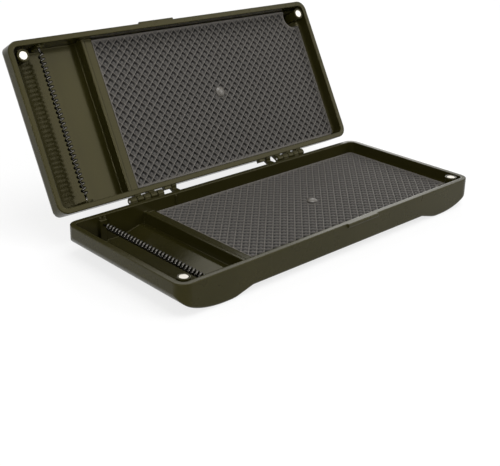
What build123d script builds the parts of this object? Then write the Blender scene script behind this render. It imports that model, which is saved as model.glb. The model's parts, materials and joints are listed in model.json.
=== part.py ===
from build123d import *
import math
import os

# A flat hinged rig box: a base tray and a lid of one outline, moulded in plastic, drawn open on its stops.
# X runs along the front edge, -Y is the front, +Z is up. The origin is the bottom middle of the open
# box's extent. The lid is drawn where it lies when shut, on planes turned about the hinge axis.

# Outline and heights
length = 238.0
depth = 101.7
corner_radius = 6.8
base_height = 18.0
lid_height = 15.7
parting_gap = 0.15
rim_width = 3.3
floor_wall = 1.6
lid_wall = 2.4
rim_edge_radius = 0.35

# Rounded ends, foot bulges and edges. A roll leaves its upright end at a slight angle, the break.
roll_break = 4.0
base_roll = 29.4
base_rise = 12.2
foot_flat = 3.0
foot_radius = 21.5
foot_slope = 15.5
recess = 3.5
base_edge_radius = 1.2
lid_roll = 16.6
lid_drop = 10.3
lid_edge_radius = 1.7
groove_inset = 2.0
groove_width = 0.7
groove_depth = 0.45

# Finger ledges on the front edge
ledge_length = 25.9
ledge_gap = 0.6
ledge_out = 1.1
ledge_height = 2.2
ledge_radius = 0.5

# Hinges
open_angle = 118.6
hinge_offset = 2.85
hinge_x = (-61.2, 59.4)
knuckle_radius = 2.15
knuckle_pitch = 4.97
knuckle_gap = 0.4
knuckle_ease = 0.3
knuckle_count = 5
web_gap = 0.35
web_depth = 4.5
web_overlap = 0.6
pin_radius = 0.8
pin_clearance = 0.05
pin_short = 0.6
pin_chamfer = 0.2
lid_knuckles = ((1, 3), (0, 2, 4))

# Stops behind the rear edge: an upright fin on the base, a block on the lid
fin_x = (-38.9, 41.0)
fin_width = 3.5
fin_reach = 3.8
fin_start = 1.6
fin_foot = 1.2
fin_clearance = 0.05
block_x = (-43.7, 35.1)
block_width = 4.9
block_out = 2.0
block_top = 3.1

# Magnets in round posts at the front corners
post_inset_x = 8.55
post_inset_y = 8.85
post_radius = 3.7
post_drop = 0.1
magnet_radius = 2.6
magnet_thickness = 2.0
magnet_sink = 0.1
magnet_clearance = 0.05
magnet_chamfer = 0.2

# Divider and the ledge that frames the pad
divider_left = 51.3
divider_width = 2.2
divider_drop = 5.8
frame_width = 5.5
frame_drop = 6.9

# Foam pads, their studs and the ribs that carry the base pad's end over the foot
pad_thickness = 5.4
pad_clearance = 0.25
notch_radius = 7.4
stud_left = 144.4
stud_radius = 3.4
stud_dome = 1.2
stud_shank = 1.5
stud_seat = 0.9
stud_clearance = 0.05
rib_thickness = 1.4
rib_spacing = 31.0
rib_count = 3
wall_rib_width = 0.8
wall_rib_out = 0.7
wall_rib_drop = 1.0

# Coil springs between lugs on the front and rear walls
spring_left = 22.2
spring_drop = 5.4
wire = 1.3
coil_radius = 1.3
turns = 30
spring_lead = 4.2
lug_width = 4.7
lug_out = 1.6
lug_drop = 2.6
prong_width = 1.2
prong_gap = 1.7
prong_drop = 1.2

# The open lid's front edge reaches furthest back, so it and the base's finger ledge say where Y is zero.
lean = math.radians(open_angle)
lid_reach = (hinge_offset + depth - lid_edge_radius) * -math.cos(lean)
lid_rise = (lid_height + parting_gap / 2 - lid_edge_radius) * math.sin(lean)
rear_extent = depth / 2 + hinge_offset + lid_reach + lid_rise + lid_edge_radius
front_extent = depth / 2 + ledge_out
tray_y = (front_extent - rear_extent) / 2

# Places that follow from these
hinge_y = tray_y + depth / 2 + hinge_offset
hinge_z = base_height + parting_gap / 2
inner_length = length - 2 * rim_width
inner_depth = depth - 2 * rim_width
inner_radius = corner_radius - rim_width
base_floor = base_height - recess - floor_wall
lid_floor = lid_height - lid_wall
divider_x = divider_left - length / 2
pad_x = divider_x + divider_width + frame_width
stud_x = stud_left - length / 2
spring_x = spring_left - length / 2
post_x = length / 2 - post_inset_x
post_y = depth / 2 - post_inset_y
spring_half = inner_depth / 2 - lug_out
deep = base_height + lid_height
base_pad_drop = base_floor - pad_thickness
lid_pad_drop = lid_floor - pad_thickness

# Planes of each half: the rim plane looks out of the half, and the side plane's upright axis does too.
shut_to_open = Location((0, hinge_y, hinge_z), (-open_angle, 0, 0)) * Location((0, -hinge_y, -hinge_z))


def opened(plane):
    """The plane of the shut lid, turned about the hinge axis to where the open lid has it."""
    return Plane(shut_to_open * plane.location)


base_rim = Plane((0, tray_y, base_height))
base_side = Plane((0, tray_y, base_height), x_dir=(1, 0, 0), z_dir=(0, -1, 0))
lid_rim = opened(Plane((0, tray_y, base_height + parting_gap), x_dir=(1, 0, 0), z_dir=(0, 0, -1)))
lid_side = opened(Plane((0, tray_y, base_height + parting_gap), x_dir=(1, 0, 0), z_dir=(0, 1, 0)))


def end_roll(centre_x, centre_z, reach, rise):
    """The rim line from the middle, the upright end, and the elliptical roll down to below its centre."""
    part_turn = math.radians(roll_break)
    start_z = centre_z - rise * math.sin(part_turn)
    Line((0, 0), (centre_x - reach, 0))
    Line((centre_x - reach, 0), (centre_x - reach, start_z))
    EllipticalCenterArc(
        (centre_x, centre_z), reach / math.cos(part_turn), rise,
        start_angle=180 + roll_break, arc_size=90 - roll_break
    )


def base_outline(end_wall=0.0, under_wall=0.0):
    """Front view of the base: upright ends, elliptical rolls, foot bulges and the raised middle."""
    left = -length / 2
    roll_z = base_rise - base_height
    under_z = under_wall - base_height
    turn = math.radians(foot_slope)
    bulge = foot_radius - under_wall
    bulge_x = left + base_roll + foot_flat
    slope_x = bulge_x + bulge * math.sin(turn)
    slope_z = foot_radius - bulge * math.cos(turn) - base_height
    middle_z = under_z + recess
    middle_x = slope_x + (middle_z - slope_z) / math.tan(turn)
    with BuildLine() as line:
        end_roll(left + base_roll, roll_z, base_roll - end_wall, base_rise - under_wall)
        Line((left + base_roll, under_z), (bulge_x, under_z))
        CenterArc((bulge_x, foot_radius - base_height), bulge, -90, foot_slope)
        Line((slope_x, slope_z), (middle_x, middle_z))
        Line((middle_x, middle_z), (0, middle_z))
        mirror(about=Plane.YZ)
    return line.edges()


def lid_outline(end_wall=0.0, top_wall=0.0):
    """Front view of the lid: upright ends, elliptical rolls and the flat top."""
    left = -length / 2
    roll_z = lid_drop - lid_height
    top_z = top_wall - lid_height
    with BuildLine() as line:
        end_roll(left + lid_roll, roll_z, lid_roll - end_wall, lid_drop - top_wall)
        Line((left + lid_roll, top_z), (0, top_z))
        mirror(about=Plane.YZ)
    return line.edges()


def half_body(rim, side, outline, edge_radius):
    """A solid half: its front view drawn through the depth, cut to the rounded plan, edges eased."""
    with BuildPart() as body:
        with BuildSketch(side):
            make_face(outline())
        extrude(amount=depth / 2, both=True)
        with BuildSketch(rim):
            RectangleRounded(length, depth, corner_radius)
        extrude(amount=-deep, mode=Mode.INTERSECT)
        flat_sides = body.faces().filter_by(lambda f: abs(f.normal_at().dot(side.z_dir)) > 0.999)
        rim_edges = body.faces().filter_by(lambda f: f.normal_at().dot(rim.z_dir) > 0.999).edges()
        outer_edges = flat_sides.edges().filter_by(
            lambda e: e not in rim_edges and abs((e % 0.5).dot(rim.z_dir)) < 0.99
        )
        fillet(outer_edges, edge_radius)
        rim_face = body.faces().filter_by(lambda f: f.normal_at().dot(rim.z_dir) > 0.999)
        fillet(rim_face.edges(), rim_edge_radius)
    return body.part


def half_room(rim, side, rear, outline, under_wall):
    """The space inside a half's walls, less the divider, pad frame, posts and spring lugs."""
    wall_y = inner_depth / 2
    with BuildPart() as room:
        with BuildSketch(side):
            make_face(outline(rim_width, under_wall))
        extrude(amount=inner_depth / 2, both=True)
        with BuildSketch(rim):
            RectangleRounded(inner_length, inner_depth, inner_radius)
        extrude(amount=-deep, mode=Mode.INTERSECT)
        with BuildSketch(rim.offset(-divider_drop)):
            with Locations((divider_x, 0)):
                Rectangle(divider_width, depth, align=(Align.MIN, Align.CENTER))
        extrude(amount=-deep, mode=Mode.SUBTRACT)
        with BuildSketch(rim.offset(-frame_drop)):
            with Locations((divider_x, 0)):
                Rectangle(divider_width + frame_width, depth, align=(Align.MIN, Align.CENTER))
        extrude(amount=-deep, mode=Mode.SUBTRACT)
        with BuildSketch(rim.offset(-post_drop)):
            with Locations((-post_x, -rear * post_y), (post_x, -rear * post_y)):
                Circle(post_radius)
        extrude(amount=-deep, mode=Mode.SUBTRACT)
        with BuildSketch(rim.offset(-lug_drop)):
            with Locations((spring_x, wall_y), (spring_x, -wall_y)):
                Rectangle(lug_width, 2 * lug_out)
        extrude(amount=-deep, mode=Mode.SUBTRACT)
        with BuildSketch(rim.offset(-prong_drop)):
            with Locations((spring_x, wall_y), (spring_x, -wall_y)):
                with GridLocations(prong_gap + prong_width, 0, 2, 1):
                    Rectangle(prong_width, lug_out)
        extrude(amount=-deep, mode=Mode.SUBTRACT)
    return room.part


def magnet_pockets(rim, rear):
    """Round pockets in the tops of the posts, which take the magnets."""
    with BuildSketch(rim.offset(-post_drop)) as pockets:
        with Locations((-post_x, -rear * post_y), (post_x, -rear * post_y)):
            Circle(magnet_radius + magnet_clearance)
    extrude(pockets.sketch, amount=-(magnet_sink + magnet_thickness), mode=Mode.SUBTRACT)


def stud_hole(rim, floor_depth):
    """The blind hole in the floor that takes the pad stud's shank."""
    with BuildSketch(rim.offset(-floor_depth)) as hole:
        with Locations((stud_x, 0)):
            Circle(stud_shank + stud_clearance)
    extrude(hole.sketch, amount=-(stud_seat + stud_clearance), mode=Mode.SUBTRACT)


def finger_ledge(cross_plane):
    """The short ledge beside the parting line: a cross-section drawn out along the front edge."""
    with BuildSketch(cross_plane) as ledge:
        with Locations((-depth / 2 - ledge_out, 0)):
            Rectangle(ledge_out + rim_width / 2, ledge_height, align=(Align.MIN, Align.MAX))
        fillet(ledge.vertices().group_by(Axis.X)[0], ledge_radius)
    extrude(ledge.sketch, amount=ledge_length / 2, both=True)


def hinge_plane(x, toward_base):
    """A cross-section plane at x on the hinge axis, its upright axis toward the other half."""
    if toward_base:
        return opened(Plane((x, hinge_y, hinge_z), x_dir=(0, 1, 0), z_dir=(-1, 0, 0)))
    return Plane((x, hinge_y, hinge_z), x_dir=(0, 1, 0), z_dir=(1, 0, 0))


def knuckle_places(of_lid):
    """The knuckle centres of one half, along X."""
    first = -(knuckle_count - 1) / 2 * knuckle_pitch
    places = []
    for centre, lid_ones in zip(hinge_x, lid_knuckles):
        for index in range(knuckle_count):
            if (index in lid_ones) == of_lid:
                places.append(centre + first + index * knuckle_pitch)
    return places


def knuckles(of_lid):
    """Barrels on the hinge axis, their ends eased, each on a web from its own half, bored for the pin."""
    wall_side = -hinge_offset - web_overlap
    half_length = (knuckle_pitch - knuckle_gap) / 2
    for x in knuckle_places(of_lid):
        middle = hinge_plane(x, of_lid)
        with BuildPart(mode=Mode.PRIVATE) as knuckle:
            with BuildSketch(middle.offset(-half_length)):
                Circle(knuckle_radius)
            extrude(amount=2 * half_length)
            chamfer(knuckle.edges().filter_by(GeomType.CIRCLE), knuckle_ease)
            with BuildSketch(middle):
                Polygon(
                    (wall_side, -web_gap), (0, -web_gap), (0, -knuckle_radius), (wall_side, -web_depth),
                    align=None
                )
            extrude(amount=half_length, both=True)
            with BuildSketch(middle):
                Circle(pin_radius + pin_clearance)
            extrude(amount=half_length, both=True, mode=Mode.SUBTRACT)
        add(knuckle.part)


def stop_fins():
    """Upright fins behind the base's rear edge. Their slanting tops meet the open lid's rear wall."""
    wall_side = -hinge_offset - web_overlap
    tops = []
    for y in (fin_start, fin_reach):
        tops.append((y, (hinge_offset - fin_clearance + y * math.cos(lean)) / math.sin(lean)))
    for x in fin_x:
        with BuildSketch(hinge_plane(x, False)) as fin:
            with BuildLine() as edge:
                Polyline(
                    (wall_side, -web_gap), (fin_foot, -web_gap), *tops, (fin_reach, -fin_foot),
                    (wall_side, -web_depth), close=True
                )
            make_face(edge.edges())
        extrude(fin.sketch, amount=fin_width / 2, both=True)


def stop_blocks():
    """Small blocks on the lid's rear wall, beside the fins."""
    for x in block_x:
        with BuildSketch(hinge_plane(x, True)) as block:
            with Locations((-hinge_offset - web_overlap, -web_gap)):
                Rectangle(block_out + web_overlap, block_top, align=(Align.MIN, Align.MAX))
        extrude(block.sketch, amount=block_width / 2, both=True)


# Base tray
base_body = half_body(base_rim, base_side, base_outline, base_edge_radius)
base_room = half_room(base_rim, base_side, 1, base_outline, floor_wall)
with BuildPart() as foot_ribs:
    with BuildSketch(base_rim.offset(-base_floor)):
        with Locations((length / 2, 0)):
            with GridLocations(0, rib_spacing, 1, rib_count):
                Rectangle(2 * base_roll, rib_thickness, align=(Align.MAX, Align.CENTER))
    extrude(amount=-deep)
    add(base_room, mode=Mode.INTERSECT)
ledge_x = (ledge_gap + ledge_length) / 2
base_cross = Plane((ledge_x, tray_y, base_height), x_dir=(0, 1, 0), z_dir=(1, 0, 0))
with BuildPart() as base_tray:
    add(base_body)
    add(base_room, mode=Mode.SUBTRACT)
    magnet_pockets(base_rim, 1)
    stud_hole(base_rim, base_floor)
    finger_ledge(base_cross)
    knuckles(False)
    stop_fins()
    add(foot_ribs)
    with BuildSketch(base_rim.offset(-wall_rib_drop)):
        with Locations((block_x[0], inner_depth / 2)):
            Rectangle(wall_rib_width, 2 * wall_rib_out)
    extrude(amount=-(base_pad_drop - 2 * wall_rib_drop))

# Lid shell
lid_body = half_body(lid_rim, lid_side, lid_outline, lid_edge_radius)
lid_room = half_room(lid_rim, lid_side, -1, lid_outline, lid_wall)
lid_cross = opened(Plane((-ledge_x, tray_y, base_height + parting_gap), x_dir=(0, 1, 0), z_dir=(-1, 0, 0)))
with BuildPart() as lid_shell:
    add(lid_body)
    add(lid_room, mode=Mode.SUBTRACT)
    magnet_pockets(lid_rim, -1)
    stud_hole(lid_rim, lid_floor)
    finger_ledge(lid_cross)
    knuckles(True)
    stop_blocks()
    for side_sign in (-1, 1):
        groove_y = side_sign * (depth / 2 - groove_inset - groove_width / 2)
        with BuildSketch(lid_side.offset(groove_y)):
            make_face(lid_outline(-groove_depth, -groove_depth))
            make_face(lid_outline(groove_depth, groove_depth), mode=Mode.SUBTRACT)
        extrude(amount=groove_width / 2, both=True, mode=Mode.SUBTRACT)


def foam_pad(rim, side, rear, outline, under_wall, drop):
    """A foam sheet on the floor beside the divider, trimmed to the end wall, notched round the post."""
    with BuildPart() as pad:
        with BuildSketch(side):
            make_face(outline(rim_width + pad_clearance, under_wall))
        extrude(amount=inner_depth / 2 - pad_clearance, both=True)
        with BuildSketch(rim.offset(-drop)):
            RectangleRounded(inner_length, inner_depth - 2 * pad_clearance, inner_radius)
            with Locations((pad_x + pad_clearance, 0)):
                Rectangle(length, depth, align=(Align.MAX, Align.CENTER), mode=Mode.SUBTRACT)
            with Locations((post_x, -rear * post_y)):
                Circle(notch_radius, mode=Mode.SUBTRACT)
            with Locations((stud_x, 0)):
                Circle(stud_shank + 2 * stud_clearance, mode=Mode.SUBTRACT)
        extrude(amount=-pad_thickness, mode=Mode.INTERSECT)
    return pad.part


def pad_stud(rim, side, drop, floor_depth):
    """A domed stud with a shank, turned about its axis."""
    centre = rim.from_local_coords(Vector(stud_x, 0, 0))
    with BuildPart() as stud:
        with BuildSketch(Plane(centre, x_dir=side.x_dir, z_dir=side.z_dir)):
            with BuildLine() as edge:
                foot = -floor_depth - stud_seat
                Polyline(
                    (0, stud_dome - drop), (0, foot), (stud_shank, foot), (stud_shank, -drop),
                    (stud_radius, -drop)
                )
                TangentArc((0, stud_dome - drop), (stud_radius, -drop), tangent=(1, 0))
            make_face(edge.edges())
        revolve(axis=Axis(centre, rim.z_dir))
    return stud.part


def magnet(rim, rear, side_sign):
    """A disc magnet in its pocket."""
    with BuildPart() as disc:
        with BuildSketch(rim.offset(-post_drop - magnet_sink - magnet_thickness)):
            with Locations((side_sign * post_x, -rear * post_y)):
                Circle(magnet_radius)
        extrude(amount=magnet_thickness)
        chamfer(disc.edges().filter_by(GeomType.CIRCLE), magnet_chamfer)
    return disc.part


def biarc(start, start_way, end, end_way):
    """Two arcs from start to end that keep both directions and meet between equal tangent legs."""
    chord = end - start
    ways = start_way + end_way
    spread = 2 * (1 - start_way.dot(end_way))
    leg = (math.sqrt(chord.dot(ways) ** 2 + spread * chord.dot(chord)) - chord.dot(ways)) / spread
    middle = (start + end + (start_way - end_way) * leg) * 0.5
    first = TangentArc(start, middle, tangent=start_way)
    TangentArc(middle, end, tangent=first % 1)


def coil_points():
    """The coil's half-turn points and directions along local Z, with its straight ends on the axis."""
    half = spring_half
    run = half - spring_lead
    points = [(Vector(0, 0, -half + wire), Vector(0, 0, 1))]
    for step in range(2 * turns + 1):
        turn = math.pi * step
        around = Vector(-math.sin(turn), math.cos(turn), run / (math.pi * turns * coil_radius))
        across = Vector(coil_radius * math.cos(turn), coil_radius * math.sin(turn), 0)
        place = across + Vector(0, 0, run * (step / turns - 1))
        points.append((place, around.normalized()))
    points.append((Vector(0, 0, half - wire), Vector(0, 0, 1)))
    return points


def least_gap(path):
    """The least clear space between stretches of the wire that are more than half a turn apart along it."""
    half_turn = math.pi * coil_radius
    count = round(path.length / (wire / 2))
    places = [path @ (step / count) for step in range(count + 1)]
    apart = math.ceil(half_turn / (path.length / count))
    nearest = min(
        (places[late] - places[early]).length
        for early in range(count + 1)
        for late in range(early + apart, min(early + 6 * apart, count + 1))
    )
    return nearest - wire


def coil_spring(rim):
    """One unbroken wire from the front lug to the rear lug, in half turns, each of two arcs."""
    middle = rim.from_local_coords(Vector(spring_x, 0, -spring_drop))
    axis_plane = Plane(middle, x_dir=rim.z_dir, z_dir=rim.y_dir)
    points = coil_points()
    end = Vector(0, 0, spring_half)
    with BuildPart() as spring:
        with BuildLine() as path:
            Line(end * -1, points[0][0])
            for (start, start_way), (stop, stop_way) in zip(points, points[1:]):
                biarc(start, start_way, stop, stop_way)
            Line(points[-1][0], end)
        with BuildSketch(Plane(end * -1)):
            Circle(wire / 2)
        sweep(path=path.wires()[0])
    print("least gap of the spring to itself, mm:", round(least_gap(path.wires()[0]), 2))
    return axis_plane.location * spring.part


def hinge_pin(centre_x):
    """A steel pin through the five knuckles."""
    pin_length = knuckle_count * knuckle_pitch - pin_short
    with BuildPart() as pin:
        with BuildSketch(hinge_plane(centre_x, False)):
            Circle(pin_radius)
        extrude(amount=pin_length / 2, both=True)
        chamfer(pin.edges().filter_by(GeomType.CIRCLE), pin_chamfer)
    return pin.part


# Nodes
pieces = {
    "base_tray": base_tray.part,
    "lid_shell": lid_shell.part,
    "base_foam_pad": foam_pad(base_rim, base_side, 1, base_outline, floor_wall, base_pad_drop),
    "lid_foam_pad": foam_pad(lid_rim, lid_side, -1, lid_outline, lid_wall, lid_pad_drop),
    "base_pad_stud": pad_stud(base_rim, base_side, base_pad_drop, base_floor),
    "lid_pad_stud": pad_stud(lid_rim, lid_side, lid_pad_drop, lid_floor),
    "base_magnet_left": magnet(base_rim, 1, -1),
    "base_magnet_right": magnet(base_rim, 1, 1),
    "lid_magnet_left": magnet(lid_rim, -1, -1),
    "lid_magnet_right": magnet(lid_rim, -1, 1),
    "base_spring": coil_spring(base_rim),
    "lid_spring": coil_spring(lid_rim),
    "hinge_pin_left": hinge_pin(hinge_x[0]),
    "hinge_pin_right": hinge_pin(hinge_x[1]),
}

os.makedirs("parts", exist_ok=True)
for name, piece in pieces.items():
    piece.label = name
    export_step(piece, f"parts/{name}.step")
    print(name, round(piece.volume, 1), piece.bounding_box())
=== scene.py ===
import json
import math

import bmesh
import bpy
import numpy as np
from mathutils import Matrix, Vector


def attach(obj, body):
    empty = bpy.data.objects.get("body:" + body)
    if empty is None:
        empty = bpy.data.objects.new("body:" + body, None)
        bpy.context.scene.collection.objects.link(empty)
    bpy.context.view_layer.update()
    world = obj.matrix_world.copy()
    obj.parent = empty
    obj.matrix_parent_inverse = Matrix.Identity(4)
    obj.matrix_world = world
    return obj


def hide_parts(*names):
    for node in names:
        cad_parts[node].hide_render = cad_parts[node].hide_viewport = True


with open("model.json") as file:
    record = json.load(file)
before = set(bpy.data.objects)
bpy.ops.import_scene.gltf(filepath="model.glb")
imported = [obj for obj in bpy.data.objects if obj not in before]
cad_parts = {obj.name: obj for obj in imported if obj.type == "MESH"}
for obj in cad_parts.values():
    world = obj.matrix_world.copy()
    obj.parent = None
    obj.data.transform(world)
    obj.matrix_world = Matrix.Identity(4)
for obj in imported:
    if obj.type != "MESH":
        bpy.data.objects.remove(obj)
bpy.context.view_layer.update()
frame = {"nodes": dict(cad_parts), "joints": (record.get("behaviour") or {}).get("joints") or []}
mm = 0.001

# The two moulded halves. Each is one injection moulding in dark olive ABS, with the posts, divider, spring
# lugs and hinge knuckles moulded on. The solids have the right shape, so they only get their plastic.

hinge = frame["joints"][0]
hinge_point = Vector(hinge["pos_m"])
shut_turn = math.radians(hinge["range_deg"][1])


def linear(colour):
    """An sRGB hex colour as the linear red, green, blue and alpha that a shader takes."""
    parts = [int(colour[start : start + 2], 16) / 255 for start in (1, 3, 5)]
    return [c / 12.92 if c <= 0.04045 else ((c + 0.055) / 1.055) ** 2.4 for c in parts] + [1.0]


def add_node(tree, kind, inputs=(), **settings):
    """Adds one node, its settings and inputs given by name. An input is a value or another node's socket."""
    node = tree.nodes.new(kind)
    for name, value in settings.items():
        setattr(node, name, value)
    for name, value in dict(inputs).items():
        if isinstance(value, bpy.types.NodeSocket):
            tree.links.new(value, node.inputs[name])
        else:
            node.inputs[name].default_value = value
    return node


def new_material(name):
    """An empty node material with its output, ready for its shader."""
    material = bpy.data.materials.new(name)
    material.use_nodes = True
    material.node_tree.nodes.clear()
    return material, material.node_tree


def finish_material(tree, shader):
    """Makes the shader the material's surface."""
    add_node(tree, "ShaderNodeOutputMaterial", {"Surface": shader.outputs[0]})


def dress(node_name, material):
    """Puts a material on a CAD node, which keeps its shape and its place."""
    slots = frame["nodes"][node_name].data.materials
    slots.clear()
    slots.append(material)


def inside_of(tree, place, hinge_turn, centre, half):
    """1 inside a box of that centre and half size, 0 outside, in the frame of the shut halves."""
    shut = add_node(
        tree,
        "ShaderNodeVectorRotate",
        {"Vector": place, "Center": hinge_point, "Angle": hinge_turn},
        rotation_type="X_AXIS",
    )
    from_centre = add_node(
        tree, "ShaderNodeVectorMath", {0: shut.outputs["Vector"], 1: centre}, operation="SUBTRACT"
    )
    apart = add_node(
        tree, "ShaderNodeVectorMath", {0: from_centre.outputs["Vector"]}, operation="ABSOLUTE"
    )
    within = add_node(
        tree, "ShaderNodeVectorMath", {0: half, 1: apart.outputs["Vector"]}, operation="SUBTRACT"
    )
    room = add_node(tree, "ShaderNodeSeparateXYZ", {"Vector": within.outputs["Vector"]})
    least = add_node(
        tree, "ShaderNodeMath", {0: room.outputs["X"], 1: room.outputs["Y"]}, operation="MINIMUM"
    )
    least = add_node(
        tree, "ShaderNodeMath", {0: least.outputs[0], 1: room.outputs["Z"]}, operation="MINIMUM"
    )
    positive = add_node(
        tree, "ShaderNodeMath", {0: least.outputs[0], 1: 0.0}, operation="GREATER_THAN"
    )
    return positive.outputs[0]


def moulded_abs():
    """ABS from a steel mould: fine spark texture outside, and polished inside, so that the rooms mirror
    their walls. The colour drifts a little with the flow of the plastic, and the edges look eased."""
    grain = 0.45 * mm
    flow = 60.0 * mm
    dull_patch = 9.0 * mm
    corner = 1.0 * mm
    inner_half = (115.75 * mm, 47.6 * mm, 9.0 * mm)
    base_rooms = (0.0, -32.52 * mm, 9.0 * mm)
    lid_rooms = (0.0, -32.52 * mm, 27.15 * mm)
    material, tree = new_material("moulded_abs_dark_olive")
    place = add_node(tree, "ShaderNodeTexCoord").outputs["Object"]
    flow_noise = add_node(tree, "ShaderNodeTexNoise", {"Vector": place, "Scale": 1 / flow, "Detail": 3.0})
    colour = add_node(tree, "ShaderNodeValToRGB", {"Fac": flow_noise.outputs["Fac"]})
    colour.color_ramp.elements[0].position = 0.3
    colour.color_ramp.elements[0].color = linear("#222009")
    colour.color_ramp.elements[1].position = 0.7
    colour.color_ramp.elements[1].color = linear("#29260f")
    in_base = inside_of(tree, place, 0.0, base_rooms, inner_half)
    in_lid = inside_of(tree, place, shut_turn, lid_rooms, inner_half)
    inside = add_node(tree, "ShaderNodeMath", {0: in_base, 1: in_lid}, operation="MAXIMUM").outputs[0]
    patches = add_node(tree, "ShaderNodeTexNoise", {"Vector": place, "Scale": 1 / dull_patch, "Detail": 4.0})
    outer = add_node(
        tree, "ShaderNodeMapRange", {"Value": patches.outputs["Fac"], "To Min": 0.24, "To Max": 0.32}
    )
    inner = add_node(
        tree, "ShaderNodeMapRange", {"Value": patches.outputs["Fac"], "To Min": 0.16, "To Max": 0.22}
    )
    gloss = add_node(
        tree,
        "ShaderNodeMix",
        {"Factor": inside, 2: outer.outputs["Result"], 3: inner.outputs["Result"]},
        data_type="FLOAT",
    )
    grain_noise = add_node(tree, "ShaderNodeTexNoise", {"Vector": place, "Scale": 1 / grain, "Detail": 2.0})
    eased = add_node(tree, "ShaderNodeBevel", {"Radius": corner}, samples=8)
    bump = add_node(
        tree,
        "ShaderNodeBump",
        {
            "Height": grain_noise.outputs["Fac"],
            "Strength": 0.12,
            "Distance": 0.1 * mm,
            "Normal": eased.outputs["Normal"],
        },
    )
    shader = add_node(
        tree,
        "ShaderNodeBsdfPrincipled",
        {
            "Base Color": colour.outputs["Color"],
            "Roughness": gloss.outputs[0],
            "Normal": bump.outputs["Normal"],
            "IOR": 1.5,
            "Specular IOR Level": 0.18,
            "Specular Tint": linear("#fff4c4"),
        },
    )
    finish_material(tree, shader)
    return material


shell_plastic = moulded_abs()
dress("base_tray", shell_plastic)
dress("lid_shell", shell_plastic)

# The ruler. Inch numerals and centimetre marks stand a little above the lid's top, along its rear edge, for
# measuring rigs. They are moulded with the lid, so they are the same plastic and colour.

lid_turn = (
    Matrix.Translation(hinge_point) @ Matrix.Rotation(-shut_turn, 4, "X") @ Matrix.Translation(-hinge_point)
)
lid_top = 33.85 * mm
box_left = -119.0 * mm
box_front = -83.37 * mm
relief_height = 0.35 * mm
relief_sink = 0.1 * mm
first_inch = 18.2 * mm
inch = 25.4 * mm
numeral_height = 4.2 * mm
numeral_row = 92.0 * mm
first_centimetre = 22.6 * mm
half_centimetre = 5.0 * mm
numeral_count = 9
mark_count = 41
mark_width = 0.6 * mm
mark_end = 99.0 * mm
short_mark = 1.8 * mm
long_mark = 3.5 * mm


def numeral_mesh(text, centre):
    """A numeral in plain type, raised by the relief height, scaled to its row and centred on its place."""
    letters = bpy.data.curves.new("numeral", "FONT")
    letters.body = text
    letters.extrude = 0.1
    letters.resolution_u = 4
    holder = bpy.data.objects.new("numeral", letters)
    bpy.context.scene.collection.objects.link(holder)
    depsgraph = bpy.context.evaluated_depsgraph_get()
    mesh = bpy.data.meshes.new_from_object(holder.evaluated_get(depsgraph))
    bpy.data.objects.remove(holder)
    points = np.empty(len(mesh.vertices) * 3, np.float32)
    mesh.vertices.foreach_get("co", points)
    points = points.reshape(-1, 3)
    low, high = points.min(0), points.max(0)
    scale = numeral_height / (high[1] - low[1])
    points[:, :2] = (points[:, :2] - (low[:2] + high[:2]) / 2) * scale + centre
    points[:, 2] = np.where(points[:, 2] > 0, lid_top + relief_height, lid_top - relief_sink)
    mesh.vertices.foreach_set("co", points.ravel())
    return mesh


def mark_mesh(places, lengths):
    """Straight marks that end at one line: each is a block between two heights, its top a tenth narrower."""
    half = mark_width / 2
    corners = np.array([(-1, 0), (1, 0), (1, 1), (-1, 1)])
    points = np.empty((len(places), 2, 4, 3))
    for level, narrow in ((0, 1.0), (1, 0.9)):
        points[:, level, :, 0] = places[:, None] + half * narrow * corners[None, :, 0]
        points[:, level, :, 1] = box_front + mark_end - lengths[:, None] * corners[None, :, 1]
    points[:, 0, :, 2] = lid_top - relief_sink
    points[:, 1, :, 2] = lid_top + relief_height
    block = [(0, 1, 2, 3), (4, 7, 6, 5), (0, 4, 5, 1), (1, 5, 6, 2), (2, 6, 7, 3), (3, 7, 4, 0)]
    faces = (np.arange(len(places))[:, None, None] * 8 + np.array(block)[None]).reshape(-1, 4)
    mesh = bpy.data.meshes.new("marks")
    mesh.from_pydata(points.reshape(-1, 3).tolist(), [], faces.tolist())
    return mesh


steps = np.arange(mark_count)
mark_places = box_left + first_centimetre + half_centimetre * steps
mark_lengths = np.where(steps % 2, short_mark, long_mark)
ruler_shape = bmesh.new()
ruler_shape.from_mesh(mark_mesh(mark_places, mark_lengths))
for number in range(numeral_count):
    numeral_place = np.array((box_left + first_inch + inch * number, box_front + numeral_row))
    ruler_shape.from_mesh(numeral_mesh(str(number), numeral_place))
bmesh.ops.remove_doubles(ruler_shape, verts=ruler_shape.verts, dist=0.001 * mm)
bmesh.ops.recalc_face_normals(ruler_shape, faces=ruler_shape.faces)
ruler_mesh = bpy.data.meshes.new("lid_ruler")
ruler_shape.to_mesh(ruler_mesh)
ruler_shape.free()
ruler_mesh.transform(lid_turn)
ruler_mesh.materials.append(shell_plastic)
ruler = bpy.data.objects.new("lid_ruler", ruler_mesh)
bpy.context.scene.collection.objects.link(ruler)
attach(ruler, "lid")

# The foam pads. Each is a die-cut sheet of black-brown EVA foam, with a diamond lattice pressed into its skin,
# so that thin ridges stand round small sunk cells. Its far end is squeezed to the curve of the end wall.

as_drawn = {"base": Matrix.Identity(4), "lid": lid_turn}


def shut_points(node_name, body):
    """The points of a CAD node, turned back to where they lie when the box is shut."""
    vertices = frame["nodes"][node_name].data.vertices
    points = np.empty(len(vertices) * 3, np.float32)
    vertices.foreach_get("co", points)
    back = np.array(as_drawn[body].inverted())
    return points.reshape(-1, 3).astype(float) @ back[:3, :3].T + back[:3, 3]


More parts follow.
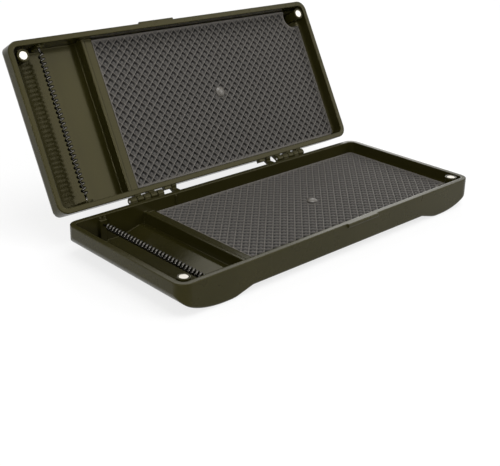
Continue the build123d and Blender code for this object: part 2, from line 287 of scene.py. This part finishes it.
def outline_distance(x, y, low, high, round_end, notch, notch_radius):
    """Distance outside the pad's outline: a rectangle with rounder corners at its far end, less the circle of
    the notch round the magnet post."""
    near_corner = 0.4 * mm
    radius = np.where(x > (low[0] + high[0]) / 2, round_end, near_corner)
    across = np.maximum(low[0] - x, x - high[0]) + radius
    along = np.maximum(low[1] - y, y - high[1]) + radius
    corner = np.hypot(np.maximum(across, 0), np.maximum(along, 0))
    sheet = corner + np.minimum(np.maximum(across, along), 0) - radius
    return np.maximum(sheet, notch_radius - np.hypot(x - notch[0], y - notch[1]))


def foam_sheet(name, body, node, magnet, stud, tilt, material):
    """The sheet's top is a grid along the lattice. It sinks from the ridges in a smooth step on each side,
    times a share that grows towards the cell's rear or upper corner, less a bell-shaped knob in the cell's
    middle. Points outside the outline are brought onto it, and the edge goes down from there in a quarter
    round and a wall."""
    cell = 4.2 * mm
    sunk = 1.5 * mm
    edge_radius = 0.7 * mm
    plain_border = 0.3 * mm
    fade_width = 1.2 * mm
    pressed_in = 1.0 * mm
    pressed_out = 2.2 * mm
    end_corner = 3.5 * mm
    notch_radius = 7.4 * mm
    ridge_flat = 0.015
    ridge_slope = 0.14
    shallow_share = 0.3
    knob_height = 0.8
    knob_spread = 0.03
    same_level = 0.02 * mm
    cell_steps = np.array([0.0, 0.03, 0.09, 0.17, 0.28, 0.42, 0.58, 0.72, 0.83, 0.91, 0.97])

    solid = shut_points(node, body)
    low, high = solid.min(0), solid.max(0)
    upward = body == "base"
    face_z, floor_z = (high[2], low[2]) if upward else (low[2], high[2])
    at_floor = solid[np.abs(solid[:, 2] - floor_z) < same_level]
    end_x = {"face": high[0], "floor": at_floor[:, 0].max()}
    post = shut_points(magnet, body)
    post = (post.min(0) + post.max(0)) / 2
    head = shut_points(stud, body)
    head_centre = (head.min(0) + head.max(0)) / 2
    head_radius = (head.max(0)[0] - head.min(0)[0]) / 2

    def distance(x, y):
        return outline_distance(x, y, low, high, end_corner, post[:2], notch_radius) + edge_radius

    def outward(x, y):
        """The outline's outward direction, from how the distance changes over a hundredth of a millimetre."""
        step = 0.01 * mm
        here = distance(x, y)
        slope = np.stack([distance(x + step, y) - here, distance(x, y + step) - here]) / step
        return slope / np.maximum(np.hypot(slope[0], slope[1]), 1e-6)

    middle = (low + high) / 2
    reach = math.ceil(np.hypot(high[0] - low[0], high[1] - low[1]) / 2 / cell) + 1
    lines = (np.arange(-reach, reach)[:, None] + cell_steps[None, :]).ravel()
    u, v = np.meshgrid(lines, lines, indexing="ij")
    angle = math.radians(45 + tilt)
    x = middle[0] + cell * (u * math.cos(angle) - v * math.sin(angle))
    y = middle[1] + cell * (u * math.sin(angle) + v * math.cos(angle))
    inside = distance(x, y) < 0

    count = len(lines)
    numbers = np.arange(count * count).reshape(count, count)
    quads = np.stack(
        [numbers[:-1, :-1], numbers[1:, :-1], numbers[1:, 1:], numbers[:-1, 1:]], axis=-1
    ).reshape(-1, 4)
    quads = quads[inside.ravel()[quads].any(axis=1)]
    used, quads = np.unique(quads, return_inverse=True)
    quads = quads.reshape(-1, 4)
    x, y, u, v = (values.ravel()[used] for values in (x, y, u, v))
    for _ in range(4):
        off = np.maximum(distance(x, y), 0)
        way = outward(x, y)
        x, y = x - off * way[0], y - off * way[1]

    depth_in = -distance(x, y)
    hollow = 1.0
    for place in (u % 1, v % 1):
        rise = np.clip((np.minimum(place, 1 - place) - ridge_flat) / ridge_slope, 0, 1)
        hollow = hollow * rise * rise * (3 - 2 * rise)
    rearward = (u % 1 + v % 1) / 2
    deep_side = rearward if upward else 1 - rearward
    knob = np.exp(-((u % 1 - 0.5) ** 2 + (v % 1 - 0.5) ** 2) / knob_spread)
    hollow = hollow * (shallow_share + (1 - shallow_share) * deep_side) * (1 - knob_height * knob)
    from_stud = np.hypot(x - head_centre[0], y - head_centre[1]) - head_radius
    fade = np.clip((depth_in - plain_border) / fade_width, 0, 1) * np.clip(from_stud / fade_width, 0, 1)
    # The relief also sets the foam's painted shade: its material paints the colour darker the deeper the skin
    # lies, darkest in each cell's deep side.
    relief = hollow * fade
    down = -1 if upward else 1
    pressed = pressed_in * np.clip(1 - from_stud / pressed_out, 0, 1) ** 2
    z = face_z + down * (sunk * relief + pressed)

    edges = np.sort(np.stack([quads, np.roll(quads, -1, axis=1)], axis=-1).reshape(-1, 2), axis=1)
    pairs, times = np.unique(edges, axis=0, return_counts=True)
    rim_edges = pairs[times == 1]
    rim = np.unique(rim_edges)
    way = outward(x[rim], y[rim])
    levels = [(math.sin(turn), 1 - math.cos(turn)) for turn in np.radians([30, 60, 90])]
    rings = [
        (x[rim] + way[0] * edge_radius * out, y[rim] + way[1] * edge_radius * out, edge_radius * fall)
        for out, fall in levels
    ]
    rings.append((rings[-1][0], rings[-1][1], abs(floor_z - face_z)))
    points = [np.stack([x, y, z], axis=-1)]
    faces = [quads]
    lookup = np.zeros(len(x), int)
    lookup[rim] = np.arange(len(rim))
    above = rim_edges
    thickness = abs(floor_z - face_z)
    for number, (ring_x, ring_y, fall) in enumerate(rings):
        end_here = end_x["face"] + (end_x["floor"] - end_x["face"]) * fall / thickness
        ring_z = np.full(len(rim), face_z + down * fall)
        points.append(np.stack([np.minimum(ring_x, end_here), ring_y, ring_z], axis=-1))
        below = len(x) + number * len(rim) + lookup[rim_edges]
        faces.append(np.stack([above[:, 0], above[:, 1], below[:, 1], below[:, 0]], axis=-1))
        above = below
    points = np.concatenate(points)
    turn = np.array(as_drawn[body])
    points = points @ turn[:3, :3].T + turn[:3, 3]

    mesh = bpy.data.meshes.new(name)
    mesh.from_pydata(points.tolist(), [], np.concatenate(faces).tolist())
    height = mesh.attributes.new("relief", "FLOAT", "POINT")
    height.data.foreach_set("value", np.pad(relief, (0, len(points) - len(relief))).astype(np.float32))
    shape = bmesh.new()
    shape.from_mesh(mesh)
    bmesh.ops.remove_doubles(shape, verts=shape.verts, dist=0.002 * mm)
    bmesh.ops.holes_fill(shape, edges=[e for e in shape.edges if e.is_boundary], sides=0)
    bmesh.ops.recalc_face_normals(shape, faces=shape.faces)
    shape.to_mesh(mesh)
    shape.free()
    mesh.shade_smooth()
    mesh.set_sharp_from_angle(angle=math.radians(50))
    mesh.materials.append(material)
    pad = bpy.data.objects.new(name, mesh)
    bpy.context.scene.collection.objects.link(pad)
    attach(pad, body)
    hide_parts(node)


def pressed_eva_foam():
    """Closed-cell EVA with a pressed skin, matt, with painted shade: lighter on the ridges, near black in the
    cells.
    """
    pore = 0.5 * mm
    material, tree = new_material("pressed_eva_foam")
    place = add_node(tree, "ShaderNodeTexCoord").outputs["Object"]
    height = add_node(tree, "ShaderNodeAttribute", attribute_name="relief")
    # Painted shade: the colour follows the relief, lighter on the ridges and darkening into the cells, near
    # black at their deepest.
    painted_cell_shade = add_node(tree, "ShaderNodeValToRGB", {"Fac": height.outputs["Fac"]})
    painted_cell_shade.color_ramp.elements[0].position = 0.0
    painted_cell_shade.color_ramp.elements[0].color = linear("#605c56")
    painted_cell_shade.color_ramp.elements[1].position = 0.08
    painted_cell_shade.color_ramp.elements[1].color = linear("#4c4945")
    painted_cell_shade.color_ramp.elements.new(0.4).color = linear("#43403c")
    painted_cell_shade.color_ramp.elements.new(0.66).color = linear("#100f0e")
    pores = add_node(tree, "ShaderNodeTexNoise", {"Vector": place, "Scale": 1 / pore, "Detail": 3.0})
    bump = add_node(
        tree, "ShaderNodeBump", {"Height": pores.outputs["Fac"], "Strength": 0.35, "Distance": 0.15 * mm}
    )
    shader = add_node(
        tree,
        "ShaderNodeBsdfPrincipled",
        {
            "Base Color": painted_cell_shade.outputs["Color"],
            "Roughness": 0.62,
            "Normal": bump.outputs["Normal"],
            "IOR": 1.45,
            "Specular IOR Level": 0.4,
        },
    )
    finish_material(tree, shader)
    return material


foam = pressed_eva_foam()
foam_sheet(
    "base_foam_sheet", "base", "base_foam_pad", "base_magnet_right", "base_pad_stud", tilt=0.0, material=foam
)
foam_sheet(
    "lid_foam_sheet", "lid", "lid_foam_pad", "lid_magnet_right", "lid_pad_stud", tilt=3.3, material=foam
)

# The pad studs. Each is a turned nylon stud with a domed head, pushed through the pad into the floor.


def moulded_nylon():
    """Unfilled nylon from a polished mould: far glossier than the foam, so its dome takes a highlight."""
    material, tree = new_material("moulded_nylon_dark")
    place = add_node(tree, "ShaderNodeTexCoord").outputs["Object"]
    scuffs = add_node(tree, "ShaderNodeTexNoise", {"Vector": place, "Scale": 1 / (1.2 * mm), "Detail": 3.0})
    gloss = add_node(
        tree, "ShaderNodeMapRange", {"Value": scuffs.outputs["Fac"], "To Min": 0.22, "To Max": 0.38}
    )
    shader = add_node(
        tree,
        "ShaderNodeBsdfPrincipled",
        {"Base Color": linear("#55514a"), "Roughness": gloss.outputs["Result"], "IOR": 1.53},
    )
    finish_material(tree, shader)
    return material


nylon = moulded_nylon()
dress("base_pad_stud", nylon)
dress("lid_pad_stud", nylon)

# The magnets. Each is a neodymium disc with a bright nickel plate, pressed into its post just under the top.


def nickel_plate():
    """Bright nickel over a tumbled disc: a mirror metal, softened by fine random marks."""
    material, tree = new_material("nickel_plate")
    place = add_node(tree, "ShaderNodeTexCoord").outputs["Object"]
    marks = add_node(tree, "ShaderNodeTexNoise", {"Vector": place, "Scale": 1 / (0.4 * mm), "Detail": 4.0})
    gloss = add_node(
        tree, "ShaderNodeMapRange", {"Value": marks.outputs["Fac"], "To Min": 0.25, "To Max": 0.42}
    )
    bump = add_node(
        tree, "ShaderNodeBump", {"Height": marks.outputs["Fac"], "Strength": 0.1, "Distance": 0.03 * mm}
    )
    shader = add_node(
        tree,
        "ShaderNodeBsdfPrincipled",
        {
            "Base Color": linear("#bdb9b0"),
            "Metallic": 1.0,
            "Roughness": gloss.outputs["Result"],
            "Normal": bump.outputs["Normal"],
        },
    )
    finish_material(tree, shader)
    return material


plate = nickel_plate()
for half in ("base", "lid"):
    for side in ("left", "right"):
        dress(f"{half}_magnet_{side}", plate)

# The coil springs. Each is wound from blackened spring wire and stretched between the front and rear lugs.
# The rigs' hooks are held between its turns.


def blackened_spring_wire():
    """Drawn wire with a black oxide: a dark metal that still takes sharp highlights along each turn."""
    material, tree = new_material("blackened_spring_wire")
    place = add_node(tree, "ShaderNodeTexCoord").outputs["Object"]
    oxide = add_node(tree, "ShaderNodeTexNoise", {"Vector": place, "Scale": 1 / (0.8 * mm), "Detail": 2.0})
    gloss = add_node(
        tree, "ShaderNodeMapRange", {"Value": oxide.outputs["Fac"], "To Min": 0.14, "To Max": 0.26}
    )
    shader = add_node(
        tree,
        "ShaderNodeBsdfPrincipled",
        {"Base Color": linear("#4a4844"), "Metallic": 1.0, "Roughness": gloss.outputs["Result"]},
    )
    finish_material(tree, shader)
    return material


wire = blackened_spring_wire()
dress("base_spring", wire)
dress("lid_spring", wire)

# The hinge pins. Each is a straight length of drawn steel, pushed in through the five knuckles.


def drawn_steel():
    """Bright drawn steel: an even metal with fine lines along the pin."""
    material, tree = new_material("drawn_steel")
    place = add_node(tree, "ShaderNodeTexCoord").outputs["Object"]
    along = add_node(tree, "ShaderNodeMapping", {"Vector": place, "Scale": (0.05, 1.0, 1.0)})
    lines = add_node(
        tree, "ShaderNodeTexNoise", {"Vector": along.outputs["Vector"], "Scale": 1 / (0.15 * mm)}
    )
    gloss = add_node(
        tree, "ShaderNodeMapRange", {"Value": lines.outputs["Fac"], "To Min": 0.25, "To Max": 0.4}
    )
    shader = add_node(
        tree,
        "ShaderNodeBsdfPrincipled",
        {"Base Color": linear("#c4c1bb"), "Metallic": 1.0, "Roughness": gloss.outputs["Result"]},
    )
    finish_material(tree, shader)
    return material


steel = drawn_steel()
dress("hinge_pin_left", steel)
dress("hinge_pin_right", steel)

# The studio. A white floor and sky, wide soft lamps overhead and at the back, smaller ones at the left and
# right front, and a camera where the photograph's stood.

floor_mesh = bpy.data.meshes.new("studio_floor")
floor_half = 6.0
floor_drop = 0.2 * mm
floor_mesh.from_pydata(
    [(x, y, -floor_drop) for x, y in ((-1, -1), (1, -1), (1, 1), (-1, 1))], [], [(0, 1, 2, 3)]
)
floor_mesh.transform(Matrix.Diagonal((floor_half, floor_half, 1, 1)))
floor = bpy.data.objects.new("studio_floor", floor_mesh)
bpy.context.scene.collection.objects.link(floor)


def seen_directly(tree):
    """1 for what the camera, a mirror-like surface or glass sees, 0 for what only lights the box."""
    path = add_node(tree, "ShaderNodeLightPath").outputs
    eye = add_node(
        tree, "ShaderNodeMath", {0: path["Is Camera Ray"], 1: path["Is Glossy Ray"]}, operation="MAXIMUM"
    )
    return add_node(
        tree, "ShaderNodeMath", {0: eye.outputs[0], 1: path["Is Transmission Ray"]}, operation="MAXIMUM"
    ).outputs[0]


def painted_floor():
    """Matt white paint. The eye sees it mostly as plain white, more so further out, and the rest keeps the
    box's shadow."""
    shadow_reach = 0.35
    fades_out = 1.2
    material, tree = new_material("studio_white_paint")
    paint = add_node(
        tree, "ShaderNodeBsdfPrincipled", {"Base Color": linear("#ffffff"), "Roughness": 1.0, "IOR": 1.0}
    )
    white = add_node(tree, "ShaderNodeEmission", {"Strength": 1.0})
    place = add_node(tree, "ShaderNodeTexCoord").outputs["Object"]
    far = add_node(tree, "ShaderNodeVectorMath", {0: place}, operation="LENGTH")
    plain_white = add_node(
        tree,
        "ShaderNodeMapRange",
        {
            "Value": far.outputs["Value"],
            "From Min": shadow_reach,
            "From Max": fades_out,
            "To Min": 0.75,
            "To Max": 1.0,
        },
    )
    share = add_node(
        tree,
        "ShaderNodeMath",
        {0: seen_directly(tree), 1: plain_white.outputs["Result"]},
        operation="MULTIPLY",
    )
    shader = add_node(
        tree, "ShaderNodeMixShader", {0: share.outputs[0], 1: paint.outputs[0], 2: white.outputs[0]}
    )
    finish_material(tree, shader)
    return material


floor_mesh.materials.append(painted_floor())

world = bpy.data.worlds.new("studio_sky")
world.use_nodes = True
world.node_tree.nodes.clear()
strength = add_node(
    world.node_tree,
    "ShaderNodeMapRange",
    {"Value": seen_directly(world.node_tree), "To Min": 0.35, "To Max": 1.0},
)
sky = add_node(
    world.node_tree,
    "ShaderNodeBackground",
    {"Color": (1.0, 1.0, 1.0, 1.0), "Strength": strength.outputs["Result"]},
)
add_node(world.node_tree, "ShaderNodeOutputWorld", {"Surface": sky.outputs[0]})
bpy.context.scene.world = world


def soft_lamp(name, place, size, power):
    """A square area lamp that faces the box's middle."""
    lamp_data = bpy.data.lights.new(name, "AREA")
    lamp_data.size = size
    lamp_data.energy = power
    lamp = bpy.data.objects.new(name, lamp_data)
    lamp.location = place
    lamp.rotation_euler = (-Vector(place)).to_track_quat("-Z", "Y").to_euler()
    bpy.context.scene.collection.objects.link(lamp)


soft_lamp("overhead_softbox", (0.05, -0.35, 1.6), 1.1, 13.0)
soft_lamp("left_small_softbox", (-1.07, -0.54, 0.5), 0.25, 5.0)
soft_lamp("right_front_softbox", (0.85, -0.98, 0.72), 0.9, 7.0)
soft_lamp("back_softbox", (0.85, 1.15, 0.75), 1.3, 11.0)

photo_width = 500
focal_pixels = 924.9
principal_x = 252.9
principal_y = 181.7
photo_middle_x = 250.0
photo_middle_y = 233.0
camera_azimuth = 43.6
camera_elevation = 20.5
camera_roll = 1.41
camera_place = (-0.3675, -0.3919, 0.2203)

camera_data = bpy.data.cameras.new("camera")
camera_data.sensor_width = 36.0
camera_data.lens = camera_data.sensor_width * focal_pixels / photo_width
camera_data.shift_x = (photo_middle_x - principal_x) / photo_width
camera_data.shift_y = (principal_y - photo_middle_y) / photo_width
camera_data.clip_start = 0.05
camera_data.clip_end = 50.0
camera = bpy.data.objects.new("camera", camera_data)
azimuth, elevation = math.radians(camera_azimuth), math.radians(camera_elevation)
forward = Vector(
    (math.sin(azimuth) * math.cos(elevation), math.cos(azimuth) * math.cos(elevation), -math.sin(elevation))
)
camera.location = camera_place
camera.rotation_mode = "QUATERNION"
camera.rotation_quaternion = forward.to_track_quat("-Z", "Y")
bpy.context.scene.collection.objects.link(camera)
bpy.context.view_layer.update()
camera.rotation_quaternion = camera.rotation_quaternion @ Matrix.Rotation(
    math.radians(camera_roll), 4, "Z"
).to_quaternion()
bpy.context.scene.camera = camera
bpy.context.scene.view_settings.view_transform = "Standard"
